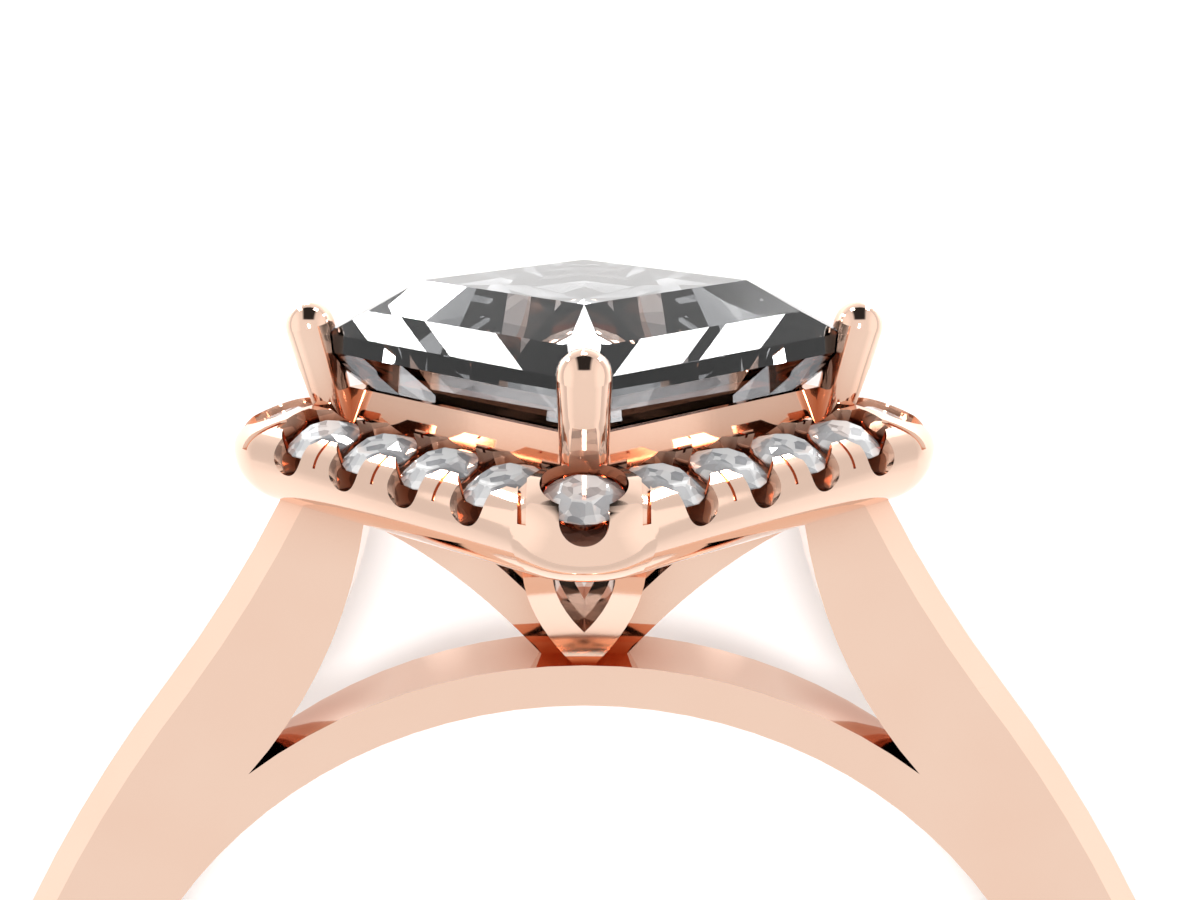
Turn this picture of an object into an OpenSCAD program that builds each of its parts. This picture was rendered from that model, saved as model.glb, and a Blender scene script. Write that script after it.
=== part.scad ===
// Halo ring: a square stone turned 45 degrees in four prongs, a halo of round
// stones round it, a trumpet basket, and a shank with cathedral shoulders.
// Millimetres. The ring is drawn upright (x across, y along the finger, z up to
// the stone) and laid on its side at the end. The origin is the finger bore's centre.

/* [Shank] */
// Inside diameter of the ring (16.9 is a US size 6 1/2)
bore_d = 16.9; // [16.5:0.1:17.3]
// Width of the shank along the finger
shank_w = 1.7; // [1.5:0.1:2.2]
// Thickness of the lower shank
shank_t = 2.15; // [1.9:0.05:2.3]
// Thickness of the band that runs under the basket
band_t = 0.7; // [0.6:0.05:0.9]
// Height of the bevel on the shank's outer edges, measured on its side face
bevel_h = 0.38; // [0.1:0.02:0.45]
// Width of the same bevel along the finger
bevel_w = 0.3; // [0.1:0.02:0.4]

/* [Shoulders] */
// Angle above level where the shank turns into the shoulder
shoulder_a = 27; // [24:1:30]
// Radius of the shoulder's outward curve
shoulder_r = 25.4; // [24:0.2:27]
// Angle above level of the surface's normal where that curve turns hollow
turn_a = 37.5; // [36.5:0.5:38.5]
// Radius of the hollow curve up to the halo
hollow_r = 22; // [20:0.5:24]
// Radius of the shoulder's inner side
inner_r = 8.72; // [8:0.02:9.5]
// Centre of that inner side, distance from the ring's middle plane
inner_x = 12.17; // [12:0.01:12.4]
// Centre of that inner side, height above the bore's centre
inner_z = 12.97; // [12.8:0.01:13.2]

/* [Centre stone] */
// Side of the square stone
stone_s = 6.1; // [5.9:0.05:6.2]
// Height of the girdle's upper edge above the halo's top
girdle_up = 1.17; // [1.1:0.01:1.25]
// Thickness of the girdle
girdle_t = 0.3; // [0.2:0.02:0.34]
// Side of the table
table_s = 3.71; // [3.5:0.05:3.9]
// Height of the table above the girdle
crown_h = 0.84; // [0.78:0.02:0.88]
// Slope of the lower crown step
crown_a = 41.6; // [40:0.2:43]
// Slope of the upper crown step
table_a = 31.1; // [30:0.1:32]
// Slope of the corner facets
corner_a = 28.7; // [28:0.1:29.5]
// How much is cut off each corner of the girdle
corner_cut = 0.15; // [0.1:0.01:0.2]
// Slope of the pavilion's sides
pavilion_a = 52; // [50:0.5:53]
// Height of the pavilion below the girdle
pavilion_h = 3.45; // [3.3:0.05:3.6]
// Turn of the outer chevron facets from the side's normal
wide_chevron = 25; // [24:1:26]
// Turn of the inner chevron facets
slim_chevron = 12; // [11:1:13]

/* [Prongs] */
// Distance of a prong's tip from the ring's axis
prong_r = 4.45; // [4.4:0.01:4.5]
// Height of the tip's top above the girdle
prong_up = 0.5; // [0.44:0.01:0.56]
// Diameter of the tip
prong_d = 0.8; // [0.7:0.02:0.9]
// Diameter at the foot
prong_foot_d = 0.62; // [0.56:0.02:0.7]
// Lean of the prong outwards
prong_lean = 14; // [12:0.5:15]
// Length of the prong
prong_l = 2.4; // [2.2:0.1:2.6]

/* [Halo] */
// Height of the domed halo's top above the bore's centre
halo_z = 13.4; // [13.3:0.01:13.45]
// Drop from the top to the halo's widest line
halo_drop = 0.72; // [0.7:0.01:0.8]
// Distance of the widest line from the axis, on each side
halo_q = 4.49; // [4.45:0.01:4.55]
// Radius of the halo's corners, seen from above
corner_round = 1.45; // [1.4:0.01:1.5]
// Distance of the dome's highest line from the axis
ridge_q = 3.35; // [3.32:0.01:3.4]
// Radius of the round edge between the dome and the widest line
edge_r = 0.5; // [0.46:0.01:0.54]
// Radius of the rounded wall below the widest line
halo_r = 0.82; // [0.78:0.01:0.86]
// Distance of the inner ridge's foot from the axis
valley_q = 3.05; // [3:0.01:3.1]
// Depth of the valley between that ridge and the gallery rail
valley_h = 0.3; // [0.2:0.02:0.34]
// Slope of the valley's outer side
valley_a = 50; // [45:1:60]
// Distance of the gallery rail's upper edge from the axis
rail_q = 2.72; // [2.65:0.01:2.75]
// Distance of its inner face from the axis
rail_in = 2.15; // [2.1:0.05:2.2]
// Height of the gallery rail above the halo's top
rail_up = 0.26; // [0.2:0.01:0.3]
// Lean of the gallery rail's outer face
rail_lean = 12; // [8:1:15]

/* [Halo stones] */
// Diameter of a halo stone
small_d = 1.2; // [1.14:0.01:1.22]
// Stones on each side, between the corner stones
per_side = 4; // [4:1:4]
// Spacing of the stones along a side
pitch = 1.4; // [1.36:0.01:1.42]
// Distance of the side stones from the axis
small_q = 3.73; // [3.7:0.01:3.76]
// Distance of the corner stones from the axis
corner_r = 4.9; // [4.88:0.01:4.94]
// Depth of a small stone's girdle below the halo's top
small_down = 0.37; // [0.34:0.01:0.4]
// Lean of the side stones outwards
side_tilt = 18; // [16:0.5:20]
// Lean of the corner stones outwards
corner_tilt = 21; // [19:0.5:22]
// Crown height of a small stone, as a share of its diameter
small_crown = 0.15; // [0.13:0.01:0.16]
// Pavilion depth of a small stone, as a share of its diameter
small_pavilion = 0.43; // [0.41:0.01:0.44]
// Table of a small stone, as a share of its diameter
small_table = 0.55; // [0.52:0.01:0.6]
// Thickness of a small stone's girdle
small_girdle = 0.0375; // [0.03:0.0025:0.045]
// Slope of a small stone's kite facets
kite_a = 34; // [33:0.5:35]
// Slope of the facets between them, beside the table
star_a = 24; // [23:0.5:25]
// Width of the notch outside each stone
notch_w = 0.69; // [0.6:0.01:0.72]
// Depth of the notch below the halo's top
notch_h = 0.83; // [0.78:0.01:0.88]
// Width of the channel that the side stones stand in
channel_w = 0.7; // [0.6:0.02:0.8]
// Depth of that channel below the stones' girdles
channel_h = 0.1; // [0.06:0.01:0.14]
// Width of the groove that splits each bar
groove_w = 0.06; // [0.04:0.01:0.1]
// Depth of that groove
groove_h = 0.05; // [0.03:0.01:0.1]
// Height of the lower end of the grooves, below the halo's top
groove_end = 0.6; // [0.55:0.01:0.64]
// Width of the grooves beside the corner stones
wide_groove_w = 0.12; // [0.08:0.01:0.16]
// Distance of those grooves from the corner's middle plane
wide_groove_x = 0.86; // [0.84:0.01:0.9]

/* [Basket] */
// Radius of a leg's flared outer side
flare_r = 6.9; // [6.6:0.05:7.4]
// Distance of that side from the axis where it meets the band
flare_low = 0.74; // [0.7:0.01:0.8]
// Distance of that side from the axis at the halo's underside
flare_high = 4.07; // [4:0.01:4.1]
// Thickness of a leg
leg_t = 0.6; // [0.5:0.05:0.7]
// Widest half width of a leg
leg_w = 0.93; // [0.88:0.01:0.98]
// Widest half width of the opening in a leg
slit_w = 0.48; // [0.44:0.01:0.52]
// Depth of a leg's pointed end below the band's top
leg_sink = 0.23; // [0.15:0.01:0.3]
// Height at which a leg is widest, as a share of its height
wide_share = 0.807; // [0.78:0.01:0.84]
// Length of the leg's pointed end that has no opening, as a share of the way to there
solid_share = 0.395; // [0.36:0.01:0.42]

/* [Fits] */
// Clearance between a stone and the metal
seat_gap = 0.02; // [0.01:0.005:0.03]

/* [Hidden] */
$fn = 96;
bore_r = bore_d / 2;
band_r = bore_r + band_t;
shank_r = bore_r + shank_t;
shank_x = shank_r * cos(shoulder_a);
shank_z = shank_r * sin(shoulder_a);
// centres of the shoulder's two outer curves, on the +x side
curve_x = -(shoulder_r - shank_r) * cos(shoulder_a);
curve_z = -(shoulder_r - shank_r) * sin(shoulder_a);
hollow_x = curve_x + (shoulder_r + hollow_r) * cos(turn_a);
hollow_z = curve_z + (shoulder_r + hollow_r) * sin(turn_a);
turn_x = curve_x + shoulder_r * cos(turn_a);
turn_z = curve_z + shoulder_r * sin(turn_a);
band_join_z = 7;                       // below this the shoulder is solid down to the bore
halo_mid = halo_z - halo_drop;         // height of the halo's widest line
halo_bottom = halo_mid - halo_r;
halo_c = halo_q - corner_round;        // half the square that joins the corner centres
halo_reach = halo_c * sqrt(2) + corner_round;
// The dome is an arc that touches the round edge and is level at the ridge.
dome_x = ridge_q - halo_c;
edge_x = corner_round - edge_r;
dome_dx = edge_x - dome_x;
dome_r = (dome_dx * dome_dx + halo_drop * halo_drop - edge_r * edge_r)
    / (2 * (halo_drop - edge_r));
dome_z = halo_z - dome_r;
dome_a = atan(dome_dx / (halo_mid - dome_z));
// The shoulders and legs end a little way up inside the halo.
shoulder_top = halo_bottom + halo_r / 3;
leg_bottom = band_r - band_t / 2;
leg_top = halo_bottom + halo_r / 12;
// The leg's outer side is an arc of radius flare_r through its two end points.
flare_dx = flare_high - flare_low;
flare_dz = halo_bottom - band_r;
flare_chord = norm([flare_dx, flare_dz]);
flare_bow = sqrt(flare_r * flare_r - flare_chord * flare_chord / 4);
flare_x = (flare_low + flare_high) / 2 + flare_bow * flare_dz / flare_chord;
flare_z = (band_r + halo_bottom) / 2 - flare_bow * flare_dx / flare_chord;
// Leg and opening are pointed ovals, widest at lens_z.
leg_tip = band_r - leg_sink;
lens_z = leg_tip + wide_share * (halo_bottom - leg_tip);
slit_tip = leg_tip + solid_share * (lens_z - leg_tip);
half_s = stone_s / 2;
half_diag = stone_s / sqrt(2);
table_q = table_s / 2;
girdle_z = halo_z + girdle_up;
table_z = girdle_z + crown_h;
girdle_low = girdle_z - girdle_t;
prong_z = girdle_z + prong_up;
rail_z = halo_z + rail_up;
small_r = small_d / 2;
small_z = halo_z - small_down;
// A small stone's table and culet above its girdle's upper edge, and its pavilion's slope.
small_top = small_crown * small_d;
small_point = -small_pavilion * small_d;
small_back_a = atan(-small_point / small_r);
notch_z = halo_z - notch_h + notch_w / 2;
big = 40;                              // larger than anything that is cut
open_up = 1;                           // cutters in the halo reach well above its top
// The ring rests on the halo's back corner and on the shank's lowest back edge.
rest_dy = halo_reach - halo_r - shank_w / 2;
rest_dz = halo_mid + shank_r - bevel_h;
lay_a = atan(rest_dy / rest_dz) + asin(halo_r / norm([rest_dy, rest_dz]));

function small_name(i) = str("halo_stone_", i < 10 ? "0" : "", i);

// Lays the upright ring on its side, head towards +y.
module lay_down() rotate([lay_a - 90, 0, 0]) children();

// Turns to side k of the square: local x is the side's outward normal.
module to_side(k) rotate([0, 0, 45 + 90 * k]) children();

// Place of halo stone i (1 to 20): each side's four, then that side's far corner.
module to_place(i) {
    k = floor((i - 1) / (per_side + 1));
    j = (i - 1) % (per_side + 1);
    if (j < per_side)
        to_side(k) translate([small_q, (j - (per_side - 1) / 2) * pitch, 0]) children();
    else
        rotate([0, 0, 90 * (k + 1)]) translate([corner_r, 0, 0]) children();
}

// The same place with the stone's own axes: its girdle's top at height 0, leaning outwards.
module to_small(i) to_place(i) translate([0, 0, small_z])
    rotate([0, i % (per_side + 1) == 0 ? corner_tilt : side_tilt, 0]) children();

// Half space under a crown facet: through distance r at height z, slope a, facing
// direction az, moved out by g.
module under_facet(az, a, r, z, g = 0)
    rotate([0, 0, az]) translate([r, 0, z]) rotate([0, a, 0])
        translate([-big / 2, -big / 2, g - big]) cube(big);

// Half space over a pavilion facet, same measures.
module over_facet(az, a, r, z, g = 0)
    rotate([0, 0, az]) translate([r, 0, z]) rotate([0, -a, 0])
        translate([-big / 2, -big / 2, -g]) cube(big);

// The square stone with every face moved out by g.
module square_gem(g = 0) intersection() {
    rotate([0, 0, 45]) translate([-half_s - g, -half_s - g, 0])
        cube([stone_s + 2 * g, stone_s + 2 * g, table_z + g]);
    translate([corner_cut - half_diag - g, corner_cut - half_diag - g, 0])
        cube([2 * (half_diag - corner_cut + g), 2 * (half_diag - corner_cut + g), big]);
    for_facets_crown(g);
    for_facets_pavilion(g);
}

module for_facets_crown(g) intersection_for (k = [0 : 3]) intersection() {
    under_facet(45 + 90 * k, crown_a, half_s, girdle_z, g);
    under_facet(45 + 90 * k, table_a, table_q, table_z, g);
    under_facet(90 * k, corner_a, table_q * sqrt(2), table_z, g);
}

// Each side of the pavilion has its main face and two pairs of chevron facets
// that start at the girdle's corners; the chevrons end at the culet.
module for_facets_pavilion(g) intersection_for (k = [0 : 3]) intersection() {
    over_facet(45 + 90 * k, pavilion_a, half_s, girdle_low, g);
    intersection_for (c = [-wide_chevron, -slim_chevron, slim_chevron, wide_chevron])
        over_facet(45 + 90 * k + c, chevron_a(c), chevron_r(c), girdle_low, g);
}
function chevron_r(c) = half_diag * cos(45 - abs(c));
function chevron_a(c) = atan(pavilion_h / chevron_r(c));

// A round stone, its girdle's top at height 0.
module round_gem() intersection() {
    translate([0, 0, small_point]) cylinder(r = small_r, h = small_top - small_point);
    intersection_for (k = [0 : 7]) intersection() {
        under_facet(45 * k, kite_a, small_r, 0);
        under_facet(45 * (k + 1 / 2), star_a, small_table * small_r, small_top);
        over_facet(45 * k, small_back_a, small_r, -small_girdle, -seat_gap / 2);
    }
}

// The space a round stone needs in the metal.
module seat() rotate_extrude() polygon([
    [0, small_point - 3 * seat_gap],
    [small_r + seat_gap, -small_girdle - seat_gap],
    [small_r + seat_gap, small_top + small_r],
    [0, small_top + small_r]]);

// A disc about the finger axis direction with bevelled edges.
module bevelled_disc(r) rotate([90, 0, 0]) rotate_extrude($fn = 360) polygon([
    [0, -shank_w / 2], [r - bevel_h, -shank_w / 2], [r, bevel_w - shank_w / 2],
    [r, shank_w / 2 - bevel_w], [r - bevel_h, shank_w / 2], [0, shank_w / 2]]);

// The cutter for a hollow curve, wider at both faces so that it leaves the same bevel.
module flared_disc(r) rotate([90, 0, 0]) rotate_extrude($fn = 360) polygon([
    [0, -shank_w], [r + bevel_h * (1 + shank_w / 2 / bevel_w), -shank_w],
    [r, bevel_w - shank_w / 2], [r, shank_w / 2 - bevel_w],
    [r + bevel_h * (1 + shank_w / 2 / bevel_w), shank_w], [0, shank_w]]);

module across(r, w) rotate([90, 0, 0]) cylinder(r = r, h = w, center = true, $fn = 360);

// A level slab between two heights, on the +x side.
module slab(z0, z1) translate([0, -big / 2, z0]) cube([big, big, z1 - z0]);

// Lower shank, up to where the shoulders start.
module shank() intersection() {
    bevelled_disc(shank_r);
    translate([-big / 2, -big / 2, shank_z - big]) cube(big);
}

// The shoulder on the +x side, from the shank up into the halo. Its outer curves
// touch at turn_z, where the two parts meet.
module shoulder() {
    intersection() {
        translate([curve_x, 0, curve_z]) bevelled_disc(shoulder_r);
        slab(shank_z, band_join_z);
    }
    intersection() {
        translate([curve_x, 0, curve_z]) bevelled_disc(shoulder_r);
        slab(band_join_z, turn_z);
        translate([inner_x, 0, inner_z]) across(inner_r, shank_w);
    }
    difference() {
        intersection() {
            slab(turn_z, shoulder_top);
            translate([inner_x, 0, inner_z]) across(inner_r, shank_w);
            translate([-big + turn_x + shank_w, -big / 2, 0]) cube(big);
        }
        translate([hollow_x, 0, hollow_z]) flared_disc(hollow_r);
    }
}

// Band, lower shank and both shoulders, with the finger hole.
module hoop() difference() {
    union() {
        across(band_r, shank_w);
        shank();
        for (s = [0, 180]) rotate([0, 0, s]) shoulder();
    }
    across(bore_r, 2 * shank_w);
}

// One leg of the trumpet basket, on the +x side.
module leg() intersection() {
    rotate([90, 0, 0]) linear_extrude(4 * leg_w, center = true) difference() {
        translate([0, leg_bottom]) square([flare_x, leg_top - leg_bottom]);
        translate([flare_x, flare_z]) circle(flare_r, $fn = 360);
        difference() {
            square([big, big]);
            translate([flare_x, flare_z]) circle(flare_r + leg_t, $fn = 360);
        }
    }
    rotate([90, 0, 90]) linear_extrude(big) difference() {
        lens(leg_w, leg_tip);
        lens(slit_w, slit_tip);
    }
}

// Pointed oval of half width w with its point at height tip; straight above lens_z.
module lens(w, tip) {
    r = ((lens_z - tip) * (lens_z - tip) + w * w) / (2 * w);
    intersection() {
        translate([w - r, lens_z]) circle(r, $fn = 360);
        translate([r - w, lens_z]) circle(r, $fn = 360);
        translate([-w, 0]) square([2 * w, lens_z]);
    }
    translate([-w, lens_z]) square([2 * w, halo_z - lens_z]);
}

// Section of the halo, its curves moved in by g: x is measured from the corner's
// centre, y is the height.
module halo_section(g) {
    polygon([[0, halo_bottom + g], [corner_round - halo_r, halo_bottom + g],
        [corner_round - halo_r, halo_mid], [dome_x, halo_mid],
        [dome_x, halo_z - g], [0, halo_z - g]]);
    // The dome and the round edge meet on the line from the edge's centre to join.
    join = [edge_x + dome_r * sin(dome_a), halo_mid + dome_r * cos(dome_a)];
    intersection() {
        translate([dome_x, dome_z]) circle(dome_r - g, $fn = 180);
        polygon([[dome_x, halo_mid], [dome_x, halo_z], join, [edge_x, halo_mid]]);
    }
    intersection() {
        translate([edge_x, halo_mid]) circle(edge_r - g, $fn = 180);
        polygon([[edge_x, halo_mid], join, [join[0], halo_mid]]);
    }
    intersection() {
        translate([corner_round - halo_r, halo_mid]) circle(halo_r - g, $fn = 180);
        translate([corner_round - halo_r, halo_mid - halo_r]) square(halo_r);
    }
}

module halo_blank(g = 0) {
    rotate([0, 0, 45]) translate([-halo_c, -halo_c, halo_bottom + g])
        cube([2 * halo_c, 2 * halo_c, halo_z - halo_bottom - 2 * g]);
    for (k = [0 : 3]) to_side(k) translate([halo_c, halo_c, 0]) {
        rotate([90, 0, 0]) linear_extrude(2 * halo_c) halo_section(g);
        rotate_extrude(angle = 90, $fn = 180) halo_section(g);
    }
}

// Plate along local x, w wide, for a groove that follows the dome.
module plate(w, x0) translate([x0, -w / 2, halo_z - groove_end])
    cube([big / 4, w, groove_end + open_up]);

module grooves() difference() {
    for (k = [0 : 3]) {
        to_side(k) for (j = [-1 : 1]) translate([0, j * pitch, 0]) plate(groove_w, valley_q);
        rotate([0, 0, 90 * k]) for (s = [-1, 1]) translate([0, s * wide_groove_x, 0])
            plate(wide_groove_w, valley_q * sqrt(2) - wide_groove_x + edge_r);
    }
    halo_blank(groove_h);
}

// U-shaped notch from a stone's centre outwards.
module notch() translate([0, 0, notch_z]) rotate([90, 0, 90]) linear_extrude(big / 4) {
    intersection() {
        circle(d = notch_w);
        translate([-notch_w / 2, -notch_w / 2]) square([notch_w, notch_w / 2]);
    }
    translate([-notch_w / 2, 0]) square([notch_w, open_up]);
}

// The channel between the outer and inner bars of side k.
module channel() translate([small_q, 0, small_z]) rotate([0, side_tilt, 0])
    translate([-channel_w / 2, -per_side * pitch / 2, -channel_h])
        cube([channel_w, per_side * pitch, open_up]);

// The space between the inner ridge and the gallery rail.
module valley() intersection() {
    translate([-big / 2, -big / 2, halo_z - valley_h]) cube(big);
    intersection_for (k = [0 : 3]) over_facet(45 + 90 * k, valley_a, valley_q, halo_z - valley_h);
}

module halo_cuts() {
    for (i = [1 : 4 * (per_side + 1)]) {
        to_small(i) seat();
        to_place(i) notch();
    }
    for (k = [0 : 3]) to_side(k) channel();
    valley();
}

module gallery_rail() intersection() {
    rotate([0, 0, 45]) translate([-halo_c, -halo_c, leg_top])
        cube([2 * halo_c, 2 * halo_c, rail_z - leg_top]);
    intersection_for (k = [0 : 3]) under_facet(45 + 90 * k, 90 - rail_lean, rail_q, rail_z);
}

// One prong on the +x side, with a round tip.
module prong() translate([prong_r, 0, prong_z - prong_d / 2]) rotate([0, prong_lean, 0])
    rotate_extrude() {
        polygon([[0, -prong_l], [prong_foot_d / 2, -prong_l], [prong_d / 2, 0], [0, 0]]);
        intersection() {
            circle(d = prong_d);
            square(prong_d);
        }
    }

module metal() difference() {
    union() {
        hoop();
        for (k = [0 : 3]) rotate([0, 0, 90 * k]) leg();
        difference() {
            union() {
                difference() {
                    halo_blank();
                    halo_cuts();
                    grooves();
                }
                gallery_rail();
                difference() {
                    for (k = [0 : 3]) rotate([0, 0, 90 * k]) prong();
                    for (k = [1 : 4]) to_small(k * (per_side + 1)) seat();
                }
            }
            rotate([0, 0, 45]) translate([-rail_in, -rail_in, 0])
                cube([2 * rail_in, 2 * rail_in, big]);
        }
    }
    square_gem(seat_gap);
}

module ring_mount() color([0.93, 0.72, 0.62]) lay_down() metal();

module centre_stone() color([0.75, 0.78, 0.82]) lay_down() square_gem();

module halo_stone(i) color([0.9, 0.92, 0.95]) lay_down()
    to_small(i) round_gem();

ring_mount();
centre_stone();
for (i = [1 : 4 * (per_side + 1)])
    halo_stone(i);
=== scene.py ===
"""Looks of the halo ring: camera, floor, soft light, rose gold and cut stones.

Metres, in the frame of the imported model. The ring lies on its back, so the
stones' axis is nearly level and points along +Y.
"""
import math

import bmesh
import bpy
from mathutils import Matrix, Vector


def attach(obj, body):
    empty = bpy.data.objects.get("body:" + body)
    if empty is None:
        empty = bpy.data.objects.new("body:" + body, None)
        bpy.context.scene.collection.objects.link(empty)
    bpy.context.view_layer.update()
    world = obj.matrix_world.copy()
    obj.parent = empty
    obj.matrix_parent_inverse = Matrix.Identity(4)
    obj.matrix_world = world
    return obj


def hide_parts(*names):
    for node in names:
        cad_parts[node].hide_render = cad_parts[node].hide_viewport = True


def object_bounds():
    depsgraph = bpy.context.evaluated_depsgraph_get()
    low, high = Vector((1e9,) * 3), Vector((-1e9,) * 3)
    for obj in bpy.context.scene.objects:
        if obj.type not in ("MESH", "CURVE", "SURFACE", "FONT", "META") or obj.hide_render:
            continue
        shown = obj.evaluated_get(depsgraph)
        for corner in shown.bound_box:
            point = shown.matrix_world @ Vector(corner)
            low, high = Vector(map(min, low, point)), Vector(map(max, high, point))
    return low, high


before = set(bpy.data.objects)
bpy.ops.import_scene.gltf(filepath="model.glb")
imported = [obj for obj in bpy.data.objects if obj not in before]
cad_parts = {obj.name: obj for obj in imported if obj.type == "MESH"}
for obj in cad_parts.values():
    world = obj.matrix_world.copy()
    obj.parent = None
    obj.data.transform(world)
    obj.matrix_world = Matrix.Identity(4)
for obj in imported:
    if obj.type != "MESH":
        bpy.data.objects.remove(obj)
CAD_LOW, CAD_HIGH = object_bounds()

MM = 0.001
LAY = math.radians(12.1205)       # how far the ring leans back, as in the CAD
UP = Vector((0, math.cos(LAY), math.sin(LAY)))       # the stones' axis
AWAY = Vector((0, math.sin(LAY), -math.cos(LAY)))    # from the camera, along the finger
SIDE = Vector((1, 0, 0))


def place(x, y, z):
    """A point given in the upright ring's millimetres, in the model's frame."""
    return (SIDE * x + AWAY * y + UP * z) * MM


# Camera
EYE = (0.0, -30.63, 19.657)      # mm, in the upright ring's frame
PITCH = math.radians(12.987)     # looks this far down, in the same frame
FOCAL_PX = 1906.616              # focal length, for a picture 1200 px wide
AXIS_PX = 584.19                 # where the lens axis meets the picture, from the left
PICTURE_W = 1200
SENSOR = 36.0

cam = bpy.data.cameras.new("camera")
cam.sensor_width = SENSOR
cam.sensor_fit = "HORIZONTAL"
cam.lens = FOCAL_PX / PICTURE_W * SENSOR
cam.shift_x = (PICTURE_W / 2 - AXIS_PX) / PICTURE_W
cam.clip_start = 0.001
cam.clip_end = 10
camera = bpy.data.objects.new("camera", cam)
camera.location = place(*EYE)
camera.rotation_euler = (LAY - PITCH, 0, 0)
bpy.context.scene.collection.objects.link(camera)
bpy.context.scene.camera = camera


# Materials
def material(name):
    """A new node material and its Principled shader."""
    mat = bpy.data.materials.new(name)
    mat.use_nodes = True
    return mat, mat.node_tree, mat.node_tree.nodes["Principled BSDF"]


def noise(tree, scale, detail=3.0):
    """Noise over the surface, at a scale per metre."""
    coord = tree.nodes.new("ShaderNodeTexCoord").outputs["Object"]
    n = tree.nodes.new("ShaderNodeTexNoise")
    n.inputs["Scale"].default_value = scale
    n.inputs["Detail"].default_value = detail
    tree.links.new(coord, n.inputs["Vector"])
    return n.outputs["Fac"]


def spread(tree, value, low, high, start=0.3, end=0.7):
    """value mapped from start..end to low..high."""
    n = tree.nodes.new("ShaderNodeMapRange")
    n.inputs["From Min"].default_value = start
    n.inputs["From Max"].default_value = end
    n.inputs["To Min"].default_value = low
    n.inputs["To Max"].default_value = high
    tree.links.new(value, n.inputs["Value"])
    return n.outputs["Result"]


def bump(tree, shader, height, strength, distance):
    """Relief of a height over a shader's surface, distance in metres."""
    n = tree.nodes.new("ShaderNodeBump")
    n.inputs["Strength"].default_value = strength
    n.inputs["Distance"].default_value = distance
    tree.links.new(height, n.inputs["Height"])
    tree.links.new(n.outputs["Normal"], shader.inputs["Normal"])


PAINTED_SHADE_REACH = 0.0012            # how far from a corner the painted shade reaches


def rose_gold():
    """Polished rose gold: a slight drift of colour, painted shade in its corners and grooves,
    and haze and fine wipe marks.
    """
    mat, tree, bsdf = material("rose_gold_polished")
    bsdf.inputs["Metallic"].default_value = 1
    ramp = tree.nodes.new("ShaderNodeValToRGB")
    ramp.color_ramp.elements[0].position = 0.3
    ramp.color_ramp.elements[0].color = (0.925, 0.645, 0.505, 1)
    ramp.color_ramp.elements[1].position = 0.7
    ramp.color_ramp.elements[1].color = (0.94, 0.675, 0.535, 1)
    tree.links.new(noise(tree, 400), ramp.inputs["Fac"])
    # Painted shade: corners and grooves are painted a deeper red, the more hidden they are
    # the deeper.
    corner = tree.nodes.new("ShaderNodeAmbientOcclusion")
    corner.samples = 8
    corner.inputs["Distance"].default_value = PAINTED_SHADE_REACH
    painted_shade_mix = tree.nodes.new("ShaderNodeMix")
    painted_shade_mix.data_type = "RGBA"
    factor, deep, base = painted_shade_mix.inputs[0], painted_shade_mix.inputs[6], painted_shade_mix.inputs[7]
    deep.default_value = (0.64, 0.29, 0.17, 1)
    tree.links.new(spread(tree, corner.outputs["AO"], 0, 1, 0.2, 0.95), factor)
    tree.links.new(ramp.outputs["Color"], base)
    tree.links.new(painted_shade_mix.outputs[2], bsdf.inputs["Base Color"])
    tree.links.new(spread(tree, noise(tree, 900, 5), 0.05, 0.085), bsdf.inputs["Roughness"])
    bump(tree, bsdf, noise(tree, 6000, 6), 0.012, 0.00001)
    return mat


def painted_facet_cells(tree, scale):
    """A random level for each cell: painted facet light and dark, like the small facets seen
    through a cut stone.
    """
    n = tree.nodes.new("ShaderNodeTexVoronoi")
    n.inputs["Scale"].default_value = scale
    tree.links.new(tree.nodes.new("ShaderNodeTexCoord").outputs["Object"], n.inputs["Vector"])
    grey = tree.nodes.new("ShaderNodeRGBToBW")
    tree.links.new(n.outputs["Color"], grey.inputs["Color"])
    return grey.outputs["Val"]


DIAMOND_IOR = 2.42


def diamond(name, painted_dark_colour, painted_light_colour, shine, clear, facets):
    """A cut stone: its colour is painted light and dark from cell to cell, standing in for
    the light in its facets, and its polish is faintly clouded.

    shine tints what it mirrors, clear is how much light goes through, and facets is
    the number of cells to a metre.
    """
    mat, tree, bsdf = material(name)
    bsdf.inputs["Transmission Weight"].default_value = clear
    bsdf.inputs["IOR"].default_value = DIAMOND_IOR
    bsdf.inputs["Specular Tint"].default_value = (shine, shine, shine, 1)
    ramp = tree.nodes.new("ShaderNodeValToRGB")
    ramp.color_ramp.elements[0].position = 0.35
    ramp.color_ramp.elements[0].color = painted_dark_colour
    ramp.color_ramp.elements[1].position = 0.65
    ramp.color_ramp.elements[1].color = painted_light_colour
    tree.links.new(painted_facet_cells(tree, facets), ramp.inputs["Fac"])
    tree.links.new(ramp.outputs["Color"], bsdf.inputs["Base Color"])
    tree.links.new(spread(tree, noise(tree, 1500), 0.0, 0.012), bsdf.inputs["Roughness"])
    return mat


GOLD = rose_gold()
# Painted light and shade: the centre stone is painted dark grey and both stones are painted
# in light and dark cells, standing in for what their facets show.
CENTRE = diamond("centre_stone_cut", (0.22, 0.225, 0.235, 1), (0.5, 0.505, 0.515, 1),
                 shine=0.26, clear=1, facets=900)
SMALL = diamond("halo_stone_cut", (0.42, 0.43, 0.45, 1), (1, 1, 1, 1),
                shine=1, clear=0.4, facets=5500)


def finish_node(name, mat):
    """Give one CAD node its material."""
    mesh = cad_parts[name].data
    mesh.materials.clear()
    mesh.materials.append(mat)


finish_node("ring_mount", GOLD)
finish_node("centre_stone", CENTRE)


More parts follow.
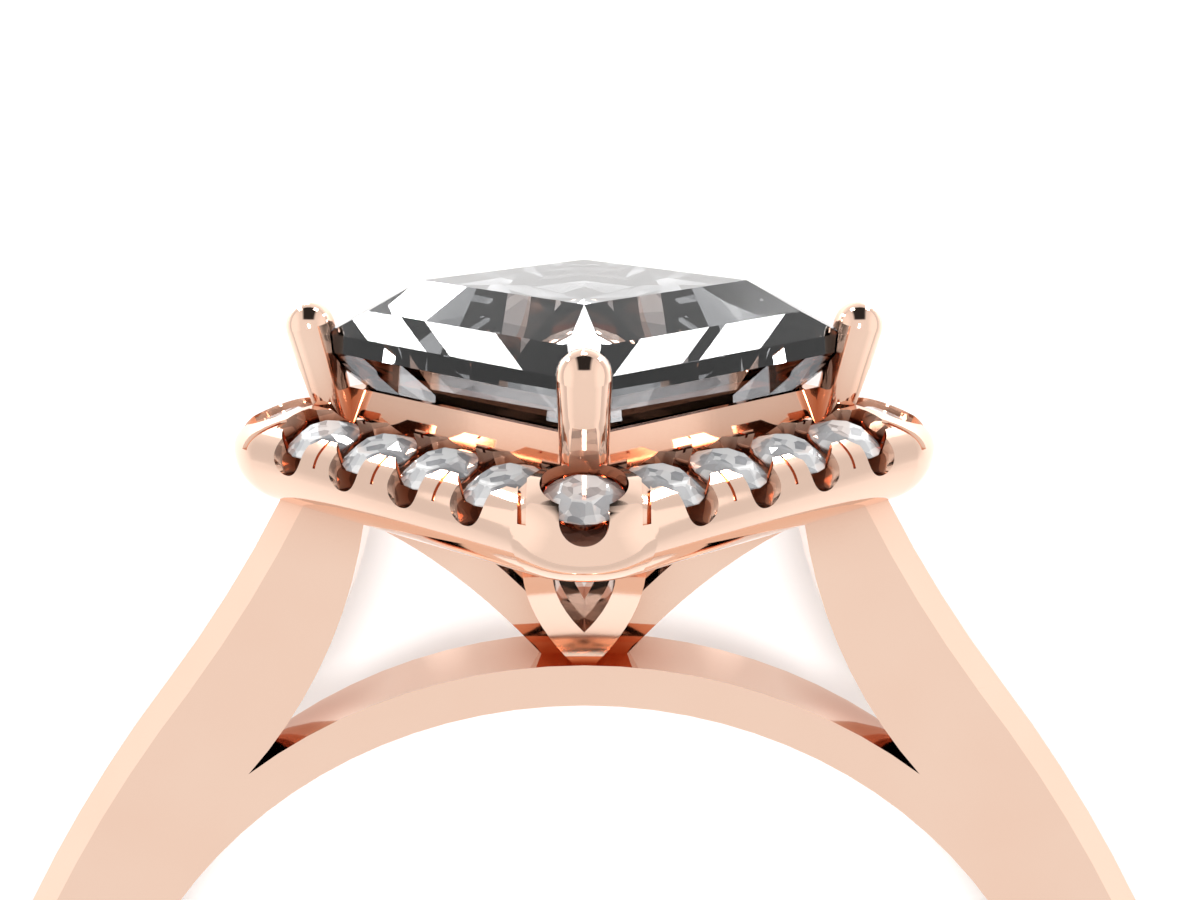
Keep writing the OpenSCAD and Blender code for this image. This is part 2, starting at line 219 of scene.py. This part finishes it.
# Halo stones
HALO_STONES = 20
TABLE = 0.56                     # table's width over the stone's
STAR = 0.55                      # star facets' reach from table to girdle
LOWER = 0.77                     # lower halves' reach from girdle to culet
TIP_IN = 0.985                   # small shifts that keep the facets convex
TIP_UP = 1.06
DEEP_IN = 0.99
PER_SIDE = 4
SIDE_TILT = 18                   # degrees that a side stone leans outwards
CORNER_TILT = 21
CROWN = 0.15                     # crown height and pavilion depth over the width
PAVILION = 0.43
GIRDLE = 0.034                   # girdle's thickness over the height
FIT = 0.995                      # keeps each stone inside its CAD node
TURN = 0.7                       # radians by which each stone is turned from the last


def brilliant(name, r, crown, girdle, pavilion, turn):
    """A round brilliant about Z, its girdle's top at 0: 57 facets and a thin girdle."""
    bm = bmesh.new()

    def ring(radius, z, count, start):
        return [bm.verts.new((radius * math.cos(a), radius * math.sin(a), z))
                for a in (turn + (start + i) * math.tau / count for i in range(count))]

    table_r = TABLE * r
    table = ring(table_r, crown, 8, 0.0)
    # A star's tip lies a little inside and above the straight line to the girdle.
    tip_r = table_r + (r - table_r) * STAR
    tip_z = crown * (1 - STAR) * TIP_UP
    tips = ring(tip_r * TIP_IN, tip_z, 8, 0.5)
    edge = ring(r, 0.0, 16, 0.0)
    low_edge = ring(r, -girdle, 16, 0.0)
    culet = bm.verts.new((0, 0, -pavilion))
    deep_r = r * (1 - LOWER)
    deep_z = -girdle - (pavilion - girdle) * LOWER * DEEP_IN
    deep = ring(deep_r, deep_z, 8, 0.5)
    bm.faces.new(table)
    for i in range(8):
        before, after = (i - 1) % 8, (i + 1) % 8
        # Corners at the girdle next to the stone's eighth i: e, f, g on top, a, b, c below
        e, f, g = edge[2 * i], edge[2 * i + 1], edge[(2 * i + 2) % 16]
        a, b, c = low_edge[2 * i], low_edge[2 * i + 1], low_edge[(2 * i + 2) % 16]
        bm.faces.new((table[i], tips[i], table[after]))
        bm.faces.new((table[i], tips[before], e))
        bm.faces.new((table[i], e, tips[i]))
        bm.faces.new((tips[i], e, f))
        bm.faces.new((tips[i], f, g))
        bm.faces.new((e, a, b, f))
        bm.faces.new((f, b, c, g))
        bm.faces.new((a, deep[i], b))
        bm.faces.new((b, deep[i], c))
        bm.faces.new((a, deep[before], culet))
        bm.faces.new((a, culet, deep[i]))
    bmesh.ops.recalc_face_normals(bm, faces=bm.faces)
    mesh = bpy.data.meshes.new(name)
    bm.to_mesh(mesh)
    bm.free()
    return mesh


def halo_stone(i):
    """Stone i stands where its CAD node is: four lean out on each side, then a corner one."""
    node = f"halo_stone_{i:02d}"
    side, j = divmod(i - 1, PER_SIDE + 1)
    corner = j == PER_SIDE
    way = math.radians(90 * (side + 1) if corner else 45 + 90 * side)
    lean = math.radians(CORNER_TILT if corner else SIDE_TILT)
    out = SIDE * math.cos(way) + AWAY * math.sin(way)
    axis = UP * math.cos(lean) + out * math.sin(lean)
    across = out * math.cos(lean) - UP * math.sin(lean)
    along = axis.cross(across)
    points = [v.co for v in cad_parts[node].data.vertices]
    ends = [(min(p.dot(d) for p in points), max(p.dot(d) for p in points))
            for d in (across, along, axis)]
    (a0, a1), (b0, b1), (bottom, top) = ends
    height = top - bottom
    crown = height * CROWN / (CROWN + PAVILION)
    mesh = brilliant(f"brilliant_{i:02d}", (b1 - b0) / 2 * FIT, crown * FIT,
                     height * GIRDLE, (height - crown) * FIT, i * TURN)
    mesh.materials.append(SMALL)
    o = bpy.data.objects.new(f"brilliant_{i:02d}", mesh)
    centre = across * (a0 + a1) / 2 + along * (b0 + b1) / 2 + axis * (top - crown)
    turn = Matrix((across, along, axis)).transposed().to_4x4()
    o.matrix_world = Matrix.Translation(centre) @ turn
    bpy.context.scene.collection.objects.link(o)
    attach(o, "root")
    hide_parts(node)


for number in range(1, HALO_STONES + 1):
    halo_stone(number)


# Floor
FLOOR_SIZE = 0.6


def floor():
    """A plain pale floor under the ring's lowest points."""
    mat, tree, bsdf = material("floor_pale")
    ramp = tree.nodes.new("ShaderNodeValToRGB")
    ramp.color_ramp.elements[0].color = (0.93, 0.93, 0.93, 1)
    ramp.color_ramp.elements[1].color = (0.95, 0.95, 0.95, 1)
    tree.links.new(noise(tree, 30), ramp.inputs["Fac"])
    tree.links.new(ramp.outputs["Color"], bsdf.inputs["Base Color"])
    bsdf.inputs["Roughness"].default_value = 0.9
    bsdf.inputs["Specular IOR Level"].default_value = 0
    bpy.ops.mesh.primitive_plane_add(size=FLOOR_SIZE, location=(0, 0, CAD_LOW.z))
    o = bpy.context.object
    o.name = "floor"
    o.data.materials.append(mat)


floor()


# Light: the floor in the picture has a brightness of about 1
TENT = 0.94                      # brightness of the tent
SHADE = 0.03                     # and of its dark window
SIDES = 0.22                     # how much brighter the tent's two sides are
WINDOW_Y = (0.35, 0.45)          # direction from where to where the window fades in
WINDOW_X = (0.35, 0.5)           # and out to both sides
SIDE_X = (0.6, 0.85)             # where the brighter sides fade in
POOL_POWER = 1.15                # watts
POOL_SPREAD = 17                 # degrees
POOL_Y = 0.012
POOL_Z = 0.25
CARD_LIGHT = 22                  # brightness of the cards


def hang(light, where, aim):
    """Put a light at a place in metres, turned to a point."""
    o = bpy.data.objects.new(light.name, light)
    o.location = where
    o.rotation_euler = (Vector(aim) - Vector(where)).to_track_quat("-Z", "Y").to_euler()
    bpy.context.scene.collection.objects.link(o)
    return o


def sky():
    """A white tent with one dark window in front of the stones' tables."""
    w = bpy.data.worlds.new("studio")
    bpy.context.scene.world = w
    w.use_nodes = True
    tree = w.node_tree
    back = tree.nodes["Background"]
    back.inputs["Color"].default_value = (1, 1, 1, 1)
    coord = tree.nodes.new("ShaderNodeTexCoord").outputs["Generated"]
    xyz = tree.nodes.new("ShaderNodeSeparateXYZ")
    tree.links.new(coord, xyz.inputs["Vector"])
    width = tree.nodes.new("ShaderNodeMath")
    width.operation = "ABSOLUTE"
    tree.links.new(xyz.outputs["X"], width.inputs[0])
    window = tree.nodes.new("ShaderNodeMath")
    window.operation = "MULTIPLY"
    tree.links.new(spread(tree, xyz.outputs["Y"], 0, 1, *WINDOW_Y), window.inputs[0])
    tree.links.new(spread(tree, width.outputs["Value"], 1, 0, *WINDOW_X), window.inputs[1])
    total = tree.nodes.new("ShaderNodeMath")
    total.operation = "ADD"
    tree.links.new(spread(tree, window.outputs["Value"], TENT, SHADE, 0, 1), total.inputs[0])
    tree.links.new(spread(tree, width.outputs["Value"], 0, SIDES, *SIDE_X), total.inputs[1])
    tree.links.new(total.outputs["Value"], back.inputs["Strength"])


def card(name, x, y, z, w, h):
    """A small bright strip in front of the stones, for one facet to mirror (mm)."""
    d = bpy.data.lights.new(name, "AREA")
    d.shape = "RECTANGLE"
    d.size = w * MM
    d.size_y = h * MM
    d.energy = CARD_LIGHT * math.pi * w * h * MM * MM
    o = hang(d, (x * MM, y * MM, z * MM), (x * MM, 0, z * MM))
    o.visible_camera = False


def pool():
    """A round soft light that brightens the floor round the head."""
    d = bpy.data.lights.new("pool", "SPOT")
    d.energy = POOL_POWER
    d.spot_size = math.radians(POOL_SPREAD)
    d.spot_blend = 0.6
    d.shadow_soft_size = 0.02
    hang(d, (0, POOL_Y, POOL_Z), (0, POOL_Y, 0))


sky()
pool()
# Cards outside the picture: x, y, z, width and height, in mm
CARDS = [
    (-13, 26, 0, 1.3, 8),        # band of the left lower facet
    (-11.1, 26, 0, 1.5, 8),
    (10.4, 26, 0, 1.4, 8),       # band of the right lower facet
    (12.1, 26, 0, 1.3, 8),
    (0, 26, 4, 3, 3),            # corner kite
    (-6.4, 22, -1.1, 2, 0.9),    # left upper facet
]
for number, strip in enumerate(CARDS):
    card(f"card_{number}", *strip)

bpy.context.scene.view_settings.view_transform = "Standard"
